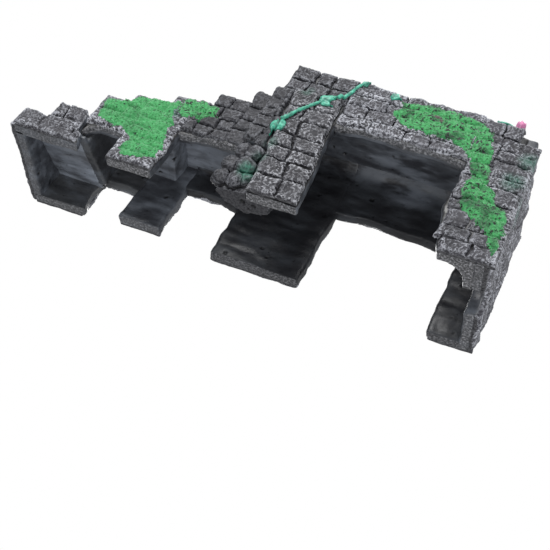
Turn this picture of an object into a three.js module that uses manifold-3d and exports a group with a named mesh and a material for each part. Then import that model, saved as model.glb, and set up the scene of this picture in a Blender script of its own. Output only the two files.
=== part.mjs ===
// Miniature terrain ruin: a hollow cast arcade wall with four piers and three through doorways.
// Millimetres, +Z up. X runs from the low broken end to the tall end, the front facade faces -Y.
import * as THREE from 'three';
import { mergeVertices } from 'three/addons/utils/BufferGeometryUtils.js';
import { ConvexGeometry } from 'three/addons/geometries/ConvexGeometry.js';
import Module from 'manifold-3d';

// overall
const joint = 0.3;            // clearance between neighbouring pieces
const wall = 4.5;             // thickness of the cast shell
const skin = 1.2;             // backing sheet that ties a field of blocks together
const relief = 2.4;           // how far the blocks stand out of that sheet
const facing = skin + relief;
const leftEnd = 1;            // outer face of the left end wall
const rightEnd = 276;         // outer face of the right end wall
const backFace = 63;          // outer face of the back wall
const leftFront = 3.9;        // outer face of the front wall at the left end
const setBack = 7;            // the low front wall stands this far behind the tall one
const backLow = 58;           // outer face of the back wall along the low steps
const buttressOut = 6;        // how far the back buttress stands proud of the back wall

// deck levels, undersides
const slopeFront = 9.5;
const slopeBack = 21;
const deckLow = 39.7;
const deckMid = 54;
const deckTall = 95.3;
const deckThick = 4;

// positions along X
const leg1End = 35.7;
const lowStart = 36;
const pierA = [61, 88];
const riserMid = 74;
const lowEnd = 126.7;
const tallStart = 131;
const pierBBase = [147, 176];
const pierBTop = [131, 170];
const pierC = [246, 271.2];
const backPier2 = [62, 87];
const backPier3 = [122, 175];
const buttress = [253, 271.2];

// doorway heads
const head1 = 20;
const head2 = 34;
const head3 = 66;
const backHead1 = 22;
const backHead2 = 36;
const backHead3 = 54;

const insideFront = wall + joint;
const insideBack = backFace - wall - joint;
const insideLow = backLow - wall - joint;
const insideLeft = leftFront + wall + joint;

// materials
const looks = {
  resin: { color: 0x34363c, roughness: 0.5, metalness: 0 },
  stone: { color: 0x57565e, roughness: 0.85, metalness: 0 },
  moss: { color: 0x3fa458, roughness: 1, metalness: 0 },
  vine: { color: 0x2b8f72, roughness: 0.55, metalness: 0 },
  petal: { color: 0xb0669a, roughness: 0.6, metalness: 0 },
};

const wasm = await Module();
wasm.setup();

const group = new THREE.Group();
group.name = 'terrain_ruin';

function add(name, geometry, look) {
  const mesh = new THREE.Mesh(geometry, new THREE.MeshStandardMaterial(looks[look]));
  mesh.name = name;
  group.add(mesh);
  return mesh;
}

// repeatable scatter in 0..1
function makeRandom(seed) {
  let state = seed * 7919 + 17;
  return () => {
    state = (state * 16807) % 2147483647;
    return state / 2147483647;
  };
}

function snap(value) {
  return Math.round(value * 100) / 100;
}

function toSolid(geometry) {
  const plain = geometry.clone();
  plain.deleteAttribute('normal');
  plain.deleteAttribute('uv');
  const merged = mergeVertices(plain, 1e-4);
  const mesh = new wasm.Mesh({
    numProp: 3,
    vertProperties: new Float32Array(merged.attributes.position.array),
    triVerts: new Uint32Array(merged.index.array),
  });
  return new wasm.Manifold(mesh);
}

function fromSolid(solid) {
  const mesh = solid.getMesh();
  const geometry = new THREE.BufferGeometry();
  geometry.setAttribute('position', new THREE.BufferAttribute(new Float32Array(mesh.vertProperties), 3));
  geometry.setIndex(new THREE.BufferAttribute(new Uint32Array(mesh.triVerts), 1));
  geometry.computeVertexNormals();
  return geometry;
}

function joinAll(parts) {
  const solids = parts.map((part) => toSolid(part));
  return fromSolid(wasm.Manifold.union(solids));
}

// outline given in two axes, pushed along the third
function outlineShape(points) {
  return new THREE.Shape(points.map(([a, b]) => new THREE.Vector2(a, b)));
}

function slabFront(points, y0, y1) {
  const geometry = new THREE.ExtrudeGeometry(outlineShape(points), { depth: y1 - y0, bevelEnabled: false });
  geometry.rotateX(Math.PI / 2);
  geometry.translate(0, y1, 0);
  return geometry;
}

function slabSide(points, x0, x1) {
  const geometry = new THREE.ExtrudeGeometry(outlineShape(points), { depth: x1 - x0, bevelEnabled: false });
  const turn = new THREE.Matrix4().makeBasis(
    new THREE.Vector3(0, 1, 0),
    new THREE.Vector3(0, 0, 1),
    new THREE.Vector3(1, 0, 0),
  );
  geometry.applyMatrix4(turn);
  geometry.translate(x0, 0, 0);
  return geometry;
}

function slabFlat(points, z0, z1) {
  const geometry = new THREE.ExtrudeGeometry(outlineShape(points), { depth: z1 - z0, bevelEnabled: false });
  geometry.translate(0, 0, z0);
  return geometry;
}

function rectangle(a0, a1, b0, b1) {
  return [[a0, b0], [a1, b0], [a1, b1], [a0, b1]];
}

// one dressed block: straight sides, then a bevelled and slightly uneven face
function blockGeometry(u0, u1, v0, v1, w0, w1, random, lean) {
  const inset = 0.5;
  const bevel = 0.8 + 0.7 * random();
  const shoulder = w0 + (w1 - w0) * (0.5 + 0.15 * random());
  const rings = [
    { inset, depth: w0 - 0.5, rough: 0 },
    { inset, depth: shoulder, rough: 0.25 },
    { inset: inset + bevel, depth: w1, rough: 0.6 },
  ];
  const corners = [[0, 0], [1, 0], [1, 1], [0, 1]];
  const points = [];
  for (const ring of rings) {
    for (const [cu, cv] of corners) {
      const u = cu ? u1 - ring.inset : u0 + ring.inset;
      const v = cv ? v1 - ring.inset : v0 + ring.inset;
      const du = (cu ? -1 : 1) * ring.rough * random() * 0.8;
      const dv = (cv ? -1 : 1) * ring.rough * random() * 0.8;
      const dw = -ring.rough * random();
      points.push(snap(u + du + lean * (v + dv)), snap(v + dv), snap(ring.depth + dw));
    }
  }
  const faces = [0, 2, 1, 0, 3, 2, 8, 9, 10, 8, 10, 11];
  for (let ring = 0; ring < 2; ring += 1) {
    for (let side = 0; side < 4; side += 1) {
      const a = ring * 4 + side;
      const b = ring * 4 + ((side + 1) % 4);
      faces.push(a, b, b + 4, a, b + 4, a + 4);
    }
  }
  const geometry = new THREE.BufferGeometry();
  geometry.setAttribute('position', new THREE.BufferAttribute(new Float32Array(points), 3));
  geometry.setIndex(faces);
  return geometry;
}

// uneven shares that add up to the whole
function shares(total, count, random, spread) {
  const weights = Array.from({ length: count }, () => 1 + spread * (random() - 0.5));
  const sum = weights.reduce((a, b) => a + b, 0);
  return weights.map((weight) => (weight / sum) * total);
}

// courses of blocks over a rectangle
function courses(field, random) {
  const blocks = [];
  const rows = Math.max(1, Math.round((field.v1 - field.v0) / field.course));
  let v = field.v0;
  shares(field.v1 - field.v0, rows, random, 0.45).forEach((height, row) => {
    const length = field.block * (0.8 + 0.4 * random());
    const count = Math.max(1, Math.round((field.u1 - field.u0) / length));
    let u = field.u0;
    for (const width of shares(field.u1 - field.u0, count, random, 0.7)) {
      const crown = row === rows - 1 ? (field.crown ?? 0) * random() : 0;
      const out = field.depth * (0.72 + 0.28 * random());
      blocks.push(
        blockGeometry(u, u + width, v, v + height + crown, skin, skin + out, random, field.lean ?? 0),
      );
      u += width;
    }
    v += height;
  });
  return blocks;
}

const sides = {
  front: { u: [1, 0, 0], v: [0, 0, 1], w: [0, -1, 0], flip: false },
  back: { u: [-1, 0, 0], v: [0, 0, 1], w: [0, 1, 0], flip: true },
  left: { u: [0, -1, 0], v: [0, 0, 1], w: [-1, 0, 0], flip: true },
  right: { u: [0, 1, 0], v: [0, 0, 1], w: [1, 0, 0], flip: false },
  top: { u: [1, 0, 0], v: [0, 1, 0], w: [0, 0, 1], flip: false },
};

// a field of blocks on one backing sheet, laid against the plane `at` on the named side
function masonry(name, side, at, fields, seed, look = 'stone') {
  const random = makeRandom(seed);
  const axes = sides[side];
  const parts = [];
  for (const given of fields) {
    const field = { course: 8, block: 11, depth: relief, ...given };
    if (axes.flip) {
      [field.u0, field.u1] = [-given.u1, -given.u0];
    }
    const lean = field.lean ?? 0;
    const sheet = new THREE.ExtrudeGeometry(
      outlineShape([
        [field.u0 + lean * field.v0, field.v0],
        [field.u1 + lean * field.v0, field.v0],
        [field.u1 + lean * field.v1, field.v1],
        [field.u0 + lean * field.v1, field.v1],
      ]),
      { depth: skin, bevelEnabled: false },
    );
    parts.push(sheet, ...courses(field, random));
  }
  const geometry = joinAll(parts);
  const basis = new THREE.Matrix4().makeBasis(
    new THREE.Vector3(...axes.u),
    new THREE.Vector3(...axes.v),
    new THREE.Vector3(...axes.w),
  );
  geometry.applyMatrix4(basis);
  const shift = new THREE.Vector3(...axes.w).multiplyScalar(joint);
  const plane = new THREE.Vector3(Math.abs(axes.w[0]), Math.abs(axes.w[1]), Math.abs(axes.w[2]));
  shift.add(plane.multiplyScalar(at));
  geometry.translate(shift.x, shift.y, shift.z);
  return add(name, geometry, look);
}

// a lump of field stone
function rock(x, y, z, rx, ry, rz, random) {
  const points = [];
  const base = new THREE.IcosahedronGeometry(1, 1).attributes.position;
  const seen = new Set();
  for (let i = 0; i < base.count; i += 1) {
    const key = [base.getX(i), base.getY(i), base.getZ(i)].map((c) => c.toFixed(4)).join();
    if (!seen.has(key)) {
      seen.add(key);
      const swell = 0.86 + 0.2 * random();
      points.push(new THREE.Vector3(
        snap(x + base.getX(i) * rx * swell),
        snap(y + base.getY(i) * ry * swell),
        snap(z + base.getZ(i) * rz * swell),
      ));
    }
  }
  return new ConvexGeometry(points);
}

// ---- left end -----------------------------------------------------------------------------
add('front_wall_left', slabFront([
  [leftEnd, 0], [41, 0], [38.5, 8], [leg1End, 12], [leg1End, 25], [17, 25], [15, 13.5], [leftEnd, 13],
], leftFront, leftFront + wall), 'resin');
add('end_wall_left', slabSide([
  [insideLeft, 0], [insideBack, 0], [insideBack, slopeBack + 3], [insideLeft, slopeFront + 3],
], leftEnd, leftEnd + wall), 'resin');
add('deck_left', slabSide([
  [insideLeft, slopeFront], [insideBack, slopeBack],
  [insideBack, slopeBack + deckThick], [insideLeft, slopeFront + deckThick],
], leftEnd + wall + joint, leg1End), 'resin');
add('back_wall_left', slabFront([
  [leftEnd, 0], [35, 0], [33, 14], [34, 23], [leg1End - 0.7, 26], [leg1End - 0.7, 30],
  [18, 30], [16, 26], [leftEnd, 25],
], backFace - wall, backFace), 'resin');

// ---- low and middle steps -------------------------------------------------------------------
add('riser_left', slabSide([
  [insideLeft, slopeFront], [insideLow, slopeBack - 1], [insideLow, deckLow - joint],
  [setBack + wall + joint, deckLow - joint], [setBack + wall + joint, 12], [insideLeft, 12],
], lowStart, lowStart + 4), 'resin');
add('front_lintel_1', slabFront([
  [lowStart, 12.4], [lowStart + 2.5, 17.5], [lowStart + 7, head1 + 1], [54, head1 + 1.5],
  [pierA[0] - joint, head1],
  [pierA[0] - joint, 50], [52, 50], [51, 44], [lowStart, 43],
], setBack, setBack + wall), 'resin');
add('front_pier_a', slabFront([
  [pierA[0], 0], [pierA[1], 0], [pierA[1], 60], [riserMid, 60], [riserMid - 1, 52], [pierA[0], 52],
], setBack, setBack + wall), 'resin');
add('front_lintel_2', slabFront([
  [pierA[1] + joint, head2 - 1], [99, head2 + 1], [114, head2 + 1.5], [lowEnd, head2 + 2],
  [lowEnd, 78], [116, 78], [115, 70], [96, 70], [95, 61], [pierA[1] + joint, 60],
], setBack, setBack + wall), 'resin');
add('deck_low', slabFlat(
  rectangle(lowStart, riserMid - joint, setBack + wall + joint, insideLow), deckLow, deckLow + deckThick,
), 'resin');
add('riser_mid', slabSide(
  rectangle(setBack + wall + joint, insideLow, deckLow, deckMid + deckThick), riserMid, riserMid + 4,
), 'resin');
add('deck_mid', slabFlat(
  rectangle(riserMid + 4 + joint, tallStart - joint, setBack + wall + joint, insideLow),
  deckMid, deckMid + deckThick,
), 'resin');
add('back_lintel_1', slabFront([
  [lowStart, backHead1], [44, backHead1 + 1.5], [56, backHead1 + 1.5], [backPier2[0] - joint, backHead1],
  [backPier2[0] - joint, 49], [50, 49], [49, 44], [lowStart, 43.5],
], backLow - wall, backLow), 'resin');
add('back_pier_2', slabFront([
  [backPier2[0], 0], [backPier2[1], 0], [backPier2[1], 62], [72, 62], [71, 52], [backPier2[0], 51],
], backLow - wall, backLow), 'resin');
add('back_lintel_2', slabFront([
  [backPier2[1] + joint, backHead2], [98, backHead2 + 1], [112, backHead2],
  [backPier3[0] - joint, backHead2 - 2],
  [backPier3[0] - joint, 74], [108, 74], [107, 64], [backPier2[1] + joint, 62],
], backLow - wall, backLow), 'resin');

// ---- tall part ------------------------------------------------------------------------------
add('tower_wall_left', slabSide(
  rectangle(insideFront, insideBack, deckMid - 4, deckTall - joint), tallStart, tallStart + wall,
), 'resin');
add('front_pier_b', slabFront([
  [pierBBase[0], 0], [pierBBase[1], 0], [pierBTop[1], head3 - joint], [pierBTop[1], 103],
  [pierBTop[0], 103], [pierBTop[0], 37], [pierBBase[0], 37],
], 0, wall), 'resin');
add('front_lintel_3', slabFront([
  [pierBTop[1] + joint, head3], [186, head3 + 2], [228, head3 + 2], [pierC[0] - joint, head3],
  [pierC[0] - joint, 102], [pierBTop[1] + joint, 103],
], 0, wall), 'resin');
add('front_pier_c', joinAll([
  slabFront([
    [252, 0], [pierC[1], 0], [pierC[1], 98], [pierC[0], 101], [pierC[0], head3], [247, 50], [245, 31],
    [248, 14],
  ], 0, wall),
  slabFlat([
    [258, wall - 0.5], [pierC[1], wall - 0.5], [pierC[1], 18], [266.8, 18], [266.4, 13], [265, 9.4],
    [262.4, 6.6], [258, 5],
  ], 0, deckTall - joint),
]), 'resin');
add('deck_tall', slabFlat([
  [tallStart, insideFront], [pierC[1], insideFront], [pierC[1], backFace + 1.2],
  [buttress[0] + wall + joint, backFace + 1.2], [buttress[0] + wall + joint, insideBack],
  [tallStart, insideBack],
], deckTall, deckTall + deckThick), 'resin');
add('end_wall_right', slabSide([
  [0, 0], [18, 0], [20, 9], [25, 13], [33, 13], [37, 9], [39, 0], [backFace + buttressOut, 0],
  [backFace + buttressOut, 92], [48, 97], [26, 93], [0, 98],
], pierC[1] + joint, rightEnd), 'resin');
add('back_pier_3', slabFront([
  [backPier3[0], 0], [backPier3[1], 0], [backPier3[1], 102], [tallStart, 103], [tallStart, 80],
  [backPier3[0], 76],
], backFace - wall, backFace), 'resin');
add('back_lintel_3', slabFront([
  [backPier3[1] + joint, backHead3 + 3], [195, backHead3 + 5], [230, backHead3 + 3],
  [buttress[0] - joint, backHead3 - 1], [buttress[0] - joint, 101], [backPier3[1] + joint, 102],
], backFace - wall, backFace), 'resin');
add('back_buttress', joinAll([
  slabFront(
    rectangle(buttress[0], buttress[1], 0, 99), backFace + buttressOut - wall, backFace + buttressOut,
  ),
  slabFlat(rectangle(buttress[0], buttress[0] + wall, backFace - wall, backFace + 3), backHead3 - 1, 99),
]), 'resin');

// ---- masonry, front -------------------------------------------------------------------------
masonry('stones_left_front', 'front', leftFront, [
  { u0: leftEnd, u1: 16, v0: 0.4, v1: 13.5, course: 13, block: 15, crown: 1.5 },
  { u0: 15.6, u1: leg1End, v0: 0.4, v1: 26, course: 13, block: 13, crown: 1.5 },
  { u0: leg1End - 0.4, u1: 39.4, v0: 0.4, v1: 8, course: 8, block: 5 },
], 11);
masonry('stones_step_1', 'front', setBack, [
  { u0: lowStart, u1: 52, v0: head1 + 1.5, v1: 44, course: 9.5, block: 12, crown: 2 },
  { u0: 51.6, u1: pierA[0] - joint, v0: head1 + 1.5, v1: 51, course: 9, crown: 2 },
], 12);
masonry('stones_pier_a', 'front', setBack, [
  { u0: pierA[0], u1: riserMid, v0: 0.4, v1: 53, crown: 1.5, depth: 1.8 },
  { u0: riserMid - 0.4, u1: pierA[1], v0: 0.4, v1: 61, crown: 1.5, depth: 1.8 },
], 13);
masonry('stones_step_2', 'front', setBack, [
  { u0: pierA[1] + joint, u1: 96, v0: head2 + 2, v1: 61.5, course: 9, crown: 1 },
  { u0: 95.6, u1: 116, v0: head2 + 2, v1: 71, course: 9, block: 10, crown: 2 },
  { u0: 115.6, u1: lowEnd, v0: head2 + 3, v1: 79, course: 10, block: 11, crown: 4 },
], 14);
masonry('stones_pier_b', 'front', -1.8, [
  { u0: 147.5, u1: 176, v0: 0.4, v1: 84, lean: -0.1, course: 12, block: 15 },
], 15);
masonry('stones_tower_front', 'front', 0, [
  { u0: 127.4, u1: 136.4, v0: 38, v1: 84, course: 9.5, block: 9 },
  { u0: 136, u1: 141.2, v0: 35, v1: 60, course: 9, block: 6 },
  { u0: 136, u1: 138.7, v0: 59.6, v1: 84, course: 9, block: 6 },
], 16);
masonry('stones_tower_top', 'front', 0, [
  { u0: 131, u1: pierBTop[1], v0: 84.4, v1: 104.5, course: 9, block: 14, crown: 2 },
], 17);
masonry('stones_lintel_3', 'front', 0, [
  { u0: pierBTop[1] + joint, u1: pierC[0] - joint, v0: head3 + 2.5, v1: 103.5, course: 9, block: 19,
    crown: 1.5 },
], 18);
masonry('stones_pier_c', 'front', 0, [
  { u0: 251.5, u1: rightEnd + joint + facing, v0: 0.4, v1: 9.8, course: 10, block: 13 },
  { u0: 247, u1: rightEnd + joint + facing, v0: 9.4, v1: 30, course: 10, block: 13 },
  { u0: 246, u1: 259.4, v0: 29.6, v1: 92, course: 9, block: 13 },
  { u0: 259, u1: rightEnd + joint + facing, v0: 29.6, v1: 92, course: 10, block: 21 },
  { u0: 246, u1: 268, v0: 91.6, v1: 102, course: 9, block: 12, crown: 1.5 },
], 19);

// ---- masonry, ends and tower side -------------------------------------------------------------
masonry('stones_left_end', 'left', leftEnd, [
  { u0: leftFront, u1: 31, v0: 0.4, v1: 14.5, course: 14, block: 13, crown: 2 },
  { u0: 30.6, u1: backFace, v0: 0.4, v1: 22.5, course: 11, block: 13, crown: 2 },
], 21);
masonry('stones_tower_left', 'left', tallStart, [
  { u0: insideFront + 7.5, u1: insideBack, v0: 61.5, v1: 104, course: 9, block: 13, crown: 2 },
], 22);
masonry('stones_right_end', 'right', rightEnd, [
  { u0: 0, u1: 19, v0: 0.4, v1: 92, course: 11, block: 15 },
  { u0: 18.6, u1: 39.4, v0: 14, v1: 92, course: 11, block: 15, crown: 2 },
  { u0: 39, u1: backFace + buttressOut, v0: 0.4, v1: 92, course: 11, block: 15, crown: 3 },
], 23);

// ---- masonry, back ----------------------------------------------------------------------------
masonry('stones_back_left', 'back', backFace, [
  { u0: leftEnd, u1: 17, v0: 0.4, v1: 26, course: 13, block: 13, crown: 1.5 },
  { u0: 16.6, u1: 34, v0: 0.4, v1: 31, course: 11, block: 13, crown: 1.5 },
], 31);
masonry('stones_back_step_1', 'back', backLow, [
  { u0: lowStart, u1: 50, v0: backHead1 + 2, v1: 44.5, course: 9, block: 13, crown: 1.5 },
  { u0: 49.6, u1: backPier2[0] - joint, v0: backHead1 + 2, v1: 50, course: 9, block: 12, crown: 1.5 },
], 32);
masonry('stones_back_pier_2', 'back', backLow, [
  { u0: backPier2[0], u1: 72, v0: 0.4, v1: 53, course: 10, block: 11, crown: 1.5 },
  { u0: 71.6, u1: backPier2[1], v0: 0.4, v1: 63, course: 10, block: 12, crown: 1.5 },
], 33);
masonry('stones_back_step_2', 'back', backLow, [
  { u0: backPier2[1] + joint, u1: 108, v0: backHead2 + 1.5, v1: 65, course: 9, block: 12, crown: 1.5 },
  { u0: 107.6, u1: backPier3[0] - joint, v0: backHead2 + 1.5, v1: 75, course: 9, block: 12, crown: 2 },
], 34);
masonry('stones_back_pier_3', 'back', backFace, [
  { u0: backPier3[0], u1: tallStart, v0: 0.4, v1: 78, course: 12, block: 9, crown: 3 },
  { u0: tallStart - 0.4, u1: backPier3[1], v0: 0.4, v1: 104, course: 12, block: 17, crown: 2 },
], 35);
masonry('stones_back_lintel_3', 'back', backFace, [
  { u0: backPier3[1] + joint, u1: buttress[0] - joint, v0: backHead3 + 5.5, v1: 103, course: 12, block: 18,
    crown: 2 },
], 36);
masonry('stones_back_buttress', 'back', backFace + buttressOut, [
  { u0: buttress[0], u1: rightEnd + joint + facing, v0: 0.4, v1: 94, course: 12, block: 16, crown: 2 },
], 37);

// ---- paving -------------------------------------------------------------------------------------
masonry('paving_low', 'top', deckLow + deckThick, [
  { u0: lowStart, u1: riserMid - joint, v0: setBack + wall + joint, v1: insideLow, course: 15, block: 13,
    depth: 1 },
], 41);
masonry('paving_mid', 'top', deckMid + deckThick, [
  { u0: riserMid, u1: 126.8, v0: setBack + wall + joint, v1: insideLow, course: 15, block: 15,
    depth: 1 },
], 42);
masonry('paving_tall', 'top', deckTall + deckThick, [
  { u0: tallStart, u1: pierC[1], v0: insideFront, v1: insideBack, course: 13, block: 17, depth: 1 },
], 43);

// ---- rubble jamb beside the second doorway ----------------------------------------------------
const jamb = makeRandom(51);
const jambParts = [
  slabFlat([
    [128.5, 5], [133, 2.5], [146.6, 1.5], [146.6, 5], [160, 5], [159, 11], [146, 15.5], [133, 10.5],
  ], 0, 34),
  rock(128.5, 4, 8.2, 5.8, 6, 5.4, jamb),
  rock(130, 3, 18.5, 6, 5.5, 6, jamb),
  rock(133, 2, 29, 6, 5, 6.2, jamb),
  rock(137, 0.5, 7, 5.2, 5, 5.2, jamb),
  rock(138.5, 0.2, 17, 5.6, 5, 5.6, jamb),
  rock(138.6, 0.5, 28, 5, 4.6, 6, jamb),
  rock(141.6, 2, 9.5, 4, 4.6, 5, jamb),
];
add('rubble_jamb', joinAll(jambParts), 'stone');

// ---- moss ---------------------------------------------------------------------------------------
// patches are cut to an outline on the face of the wall, with a soft edge
function mossPatch(name, points, y0, y1) {
  const soft = 0.8;
  const geometry = new THREE.ExtrudeGeometry(outlineShape(points), {
    depth: y1 - y0 - 2 * soft,
    bevelEnabled: true,
    bevelThickness: soft,
    bevelSize: soft,
    bevelOffset: -soft,
    bevelSegments: 2,
  });
  geometry.rotateX(Math.PI / 2);
  geometry.translate(0, y1 - soft, 0);
  return add(name, geometry, 'moss');
}

const lowMossBack = setBack - facing - 2 * joint;
mossPatch('moss_pier_a', [
  [37, 38], [37, 42], [46, 43], [53, 49], [57, 52], [66, 54], [79, 57], [79.8, 46], [83, 37], [84.5, 26],
  [88, 18], [87, 10], [81, 5], [68, 2.5], [64.5, 8], [66, 18], [56, 23.5], [46, 23.5], [40, 26],
], lowMossBack - 2.4, lowMossBack);
mossPatch('moss_step', [
  [80.6, 47], [84, 45.5], [96, 45.5], [104, 52], [102, 59], [92, 61], [80.6, 61],
], lowMossBack - 2.2, lowMossBack);
const tallMossBack = -facing - 2 * joint;
mossPatch('moss_lintel', [
  [199, 97], [196.5, 85], [206, 78], [222, 76], [234, 76.5], [240, 73], [245.4, 70], [245.4, 97.5],
  [229, 100.5], [213, 101],
], tallMossBack - 2.4, tallMossBack);
mossPatch('moss_pier_c', [
  [246, 69], [248, 64], [251, 55], [250, 45], [252, 33], [260, 26], [269, 20], [274, 10], [277.5, 3],
  [279, 8], [279, 22], [276, 36], [268, 44], [262, 53], [259, 68], [256, 79], [254, 91], [246, 97],
], tallMossBack - 2.4, tallMossBack);

// ---- vine ---------------------------------------------------------------------------------------
const vineY = tallMossBack - 3;

function stem(name, points, radius) {
  const curve = new THREE.CatmullRomCurve3(points.map((p) => new THREE.Vector3(...p)));
  const steps = 26;
  const around = 8;
  const frames = curve.computeFrenetFrames(steps, false);
  const verts = [];
  const faces = [];
  for (let i = 0; i <= steps; i += 1) {
    const centre = curve.getPointAt(i / steps);
    const size = radius * (1 - 0.45 * (i / steps));
    for (let j = 0; j < around; j += 1) {
      const turn = (j / around) * Math.PI * 2;
      const spot = centre.clone()
        .addScaledVector(frames.normals[i], Math.cos(turn) * size)
        .addScaledVector(frames.binormals[i], Math.sin(turn) * size);
      verts.push(spot.x, spot.y, spot.z);
      if (i < steps) {
        const a = i * around + j;
        const b = i * around + ((j + 1) % around);
        faces.push(a, b, b + around, a, b + around, a + around);
      }
    }
  }
  const start = verts.length / 3;
  const first = curve.getPointAt(0);
  const last = curve.getPointAt(1);
  verts.push(first.x, first.y, first.z, last.x, last.y, last.z);
  for (let j = 0; j < around; j += 1) {
    const next = (j + 1) % around;
    faces.push(start, next, j);
    faces.push(start + 1, steps * around + j, steps * around + next);
  }
  const geometry = new THREE.BufferGeometry();
  geometry.setAttribute('position', new THREE.BufferAttribute(new Float32Array(verts), 3));
  geometry.setIndex(faces);
  geometry.computeVertexNormals();
  return add(name, geometry, 'vine');
}

const leafOutline = [
  [0, 0], [0.22, 0.08], [0.4, 0.3], [0.34, 0.52], [0.24, 0.74], [0, 1],
  [-0.24, 0.74], [-0.34, 0.52], [-0.4, 0.3], [-0.22, 0.08],
];

function leafGeometry(x, z, size, turn, y0 = vineY - 0.6) {
  const c = Math.cos(turn);
  const s = Math.sin(turn);
  const points = leafOutline.map(([a, b]) => {
    const u = a * size;
    const v = b * size;
    return [x + u * c - v * s, z + u * s + v * c];
  });
  return slabFront(points, y0, y0 + 0.9);
}

stem('vine_low', [
  [144, vineY, 56.5], [146.5, vineY - 0.3, 61.5], [150, vineY, 67], [154, vineY + 0.2, 72], [156.6, vineY, 76],
], 0.9);
add('leaf_large', leafGeometry(143.4, 55, 13, 2.95), 'vine');
add('leaf_pair', joinAll([
  leafGeometry(158, 77.6, 10, -0.25),
  leafGeometry(158, 77.6, 8, -1.3),
  slabFront(rectangle(157, 159.2, 76.8, 79), vineY - 0.6, vineY + 0.3),
]), 'vine');
stem('vine_high', [
  [166.4, vineY, 83], [168, vineY - 0.2, 88], [170.4, vineY, 94], [173, vineY + 0.3, 99],
], 0.7);
add('leaf_small', leafGeometry(173.6, 99.8, 6, -0.6), 'vine');
add('leaf_top', leafGeometry(190.6, 98, 8, -1.25), 'vine');

// ---- bud on the broken top ----------------------------------------------------------------------
const budRandom = makeRandom(61);
add('bud_flower', joinAll([
  rock(264, 2, 108, 3, 2.6, 3, budRandom),
  rock(266.6, 2.4, 107, 2.4, 2.2, 2.6, budRandom),
  rock(261.8, 2.2, 106.8, 2.2, 2.2, 2.4, budRandom),
]), 'petal');
add('bud_leaves', joinAll([
  leafGeometry(256.4, 103.6, 6, 1.2, 1.4),
  leafGeometry(256.4, 103.6, 5, 0, 1.4),
  slabFlat(rectangle(255.2, 257.6, 1.4, 2.3), 103, 105),
]), 'vine');

// ---- put the middle of the footprint on the origin, feet on z = 0 ---------------------------------
const box = new THREE.Box3().setFromObject(group);
const centre = box.getCenter(new THREE.Vector3());
for (const mesh of group.children) {
  mesh.geometry.translate(-centre.x, -centre.y, -box.min.z);
}

export default group;
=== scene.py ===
# Miniature terrain ruin: a hollow resin arcade wall with stone relief, flocked moss and a painted vine.
import math
import random
import time

import bmesh
import bpy
import numpy as np
from mathutils import Matrix, Vector, noise
from mathutils.bvhtree import BVHTree


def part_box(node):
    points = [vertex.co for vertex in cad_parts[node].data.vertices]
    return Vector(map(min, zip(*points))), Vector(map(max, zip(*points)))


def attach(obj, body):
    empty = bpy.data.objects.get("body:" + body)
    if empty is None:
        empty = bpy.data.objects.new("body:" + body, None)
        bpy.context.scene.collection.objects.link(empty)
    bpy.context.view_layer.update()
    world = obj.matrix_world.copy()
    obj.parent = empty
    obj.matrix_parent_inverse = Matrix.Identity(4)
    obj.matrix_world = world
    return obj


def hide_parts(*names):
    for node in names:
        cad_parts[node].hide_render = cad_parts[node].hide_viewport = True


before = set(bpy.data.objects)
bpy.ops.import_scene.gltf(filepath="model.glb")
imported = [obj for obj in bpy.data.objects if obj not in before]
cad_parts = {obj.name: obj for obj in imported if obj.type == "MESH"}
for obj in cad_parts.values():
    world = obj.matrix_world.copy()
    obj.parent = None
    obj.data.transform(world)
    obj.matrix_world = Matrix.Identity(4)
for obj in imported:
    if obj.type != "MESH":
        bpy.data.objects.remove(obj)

started = time.time()
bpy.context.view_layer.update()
mm = 0.001
sceneCollection = bpy.context.scene.collection
noise.seed_set(7)


def report(stage):
    print(f"{time.time() - started:6.1f} s  {stage}")


# camera, light and floor
camera = {
    "azimuth": 20.4,
    "elevation": -35.4,
    "roll": 30.65,
    "distance": 0.580,
    "aim": (0.0195, 0.0385, 0.0088),
    "lens": 65.45,
}


def makeCamera(look):
    data = bpy.data.cameras.new("camera")
    data.lens = look["lens"]
    data.clip_start = 0.01
    data.clip_end = 50
    obj = bpy.data.objects.new("camera", data)
    sceneCollection.objects.link(obj)
    a = math.radians(look["azimuth"])
    e = math.radians(look["elevation"])
    back = Vector((math.sin(a) * math.cos(e), -math.cos(a) * math.cos(e), math.sin(e)))
    turn = (-back).to_track_quat("-Z", "Y").to_matrix()
    turn = turn @ Matrix.Rotation(math.radians(look["roll"]), 3, "Z")
    obj.matrix_world = Matrix.Translation(Vector(look["aim"]) + back * look["distance"]) @ turn.to_4x4()
    bpy.context.scene.camera = obj


# each light is a big soft panel: where it stands, how wide it is and how strong
lights = {
    "key": {"place": (-0.25, -1.0, 0.55), "size": 0.7, "power": 17},
    "below": {"place": (0.35, -0.65, -0.95), "size": 0.8, "power": 9},
    "top": {"place": (0.1, 0.15, 1.3), "size": 0.9, "power": 12},
    "back": {"place": (-0.5, 1.1, 0.7), "size": 0.8, "power": 12},
    "side": {"place": (1.2, 0.1, 0.4), "size": 0.7, "power": 7},
}


def makeLights():
    aim = Vector((0, 0, 0.05))
    for name, look in lights.items():
        data = bpy.data.lights.new(name, "AREA")
        data.size = look["size"]
        data.energy = look["power"]
        obj = bpy.data.objects.new(name, data)
        sceneCollection.objects.link(obj)
        obj.location = look["place"]
        obj.rotation_mode = "QUATERNION"
        obj.rotation_quaternion = (aim - obj.location).to_track_quat("-Z", "Y")


# what the camera sees behind the model, and how strongly the same sky lights it
sky = {"seen": 1.0, "lit": 0.55, "tint": (0.96, 0.98, 1, 1)}


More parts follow.
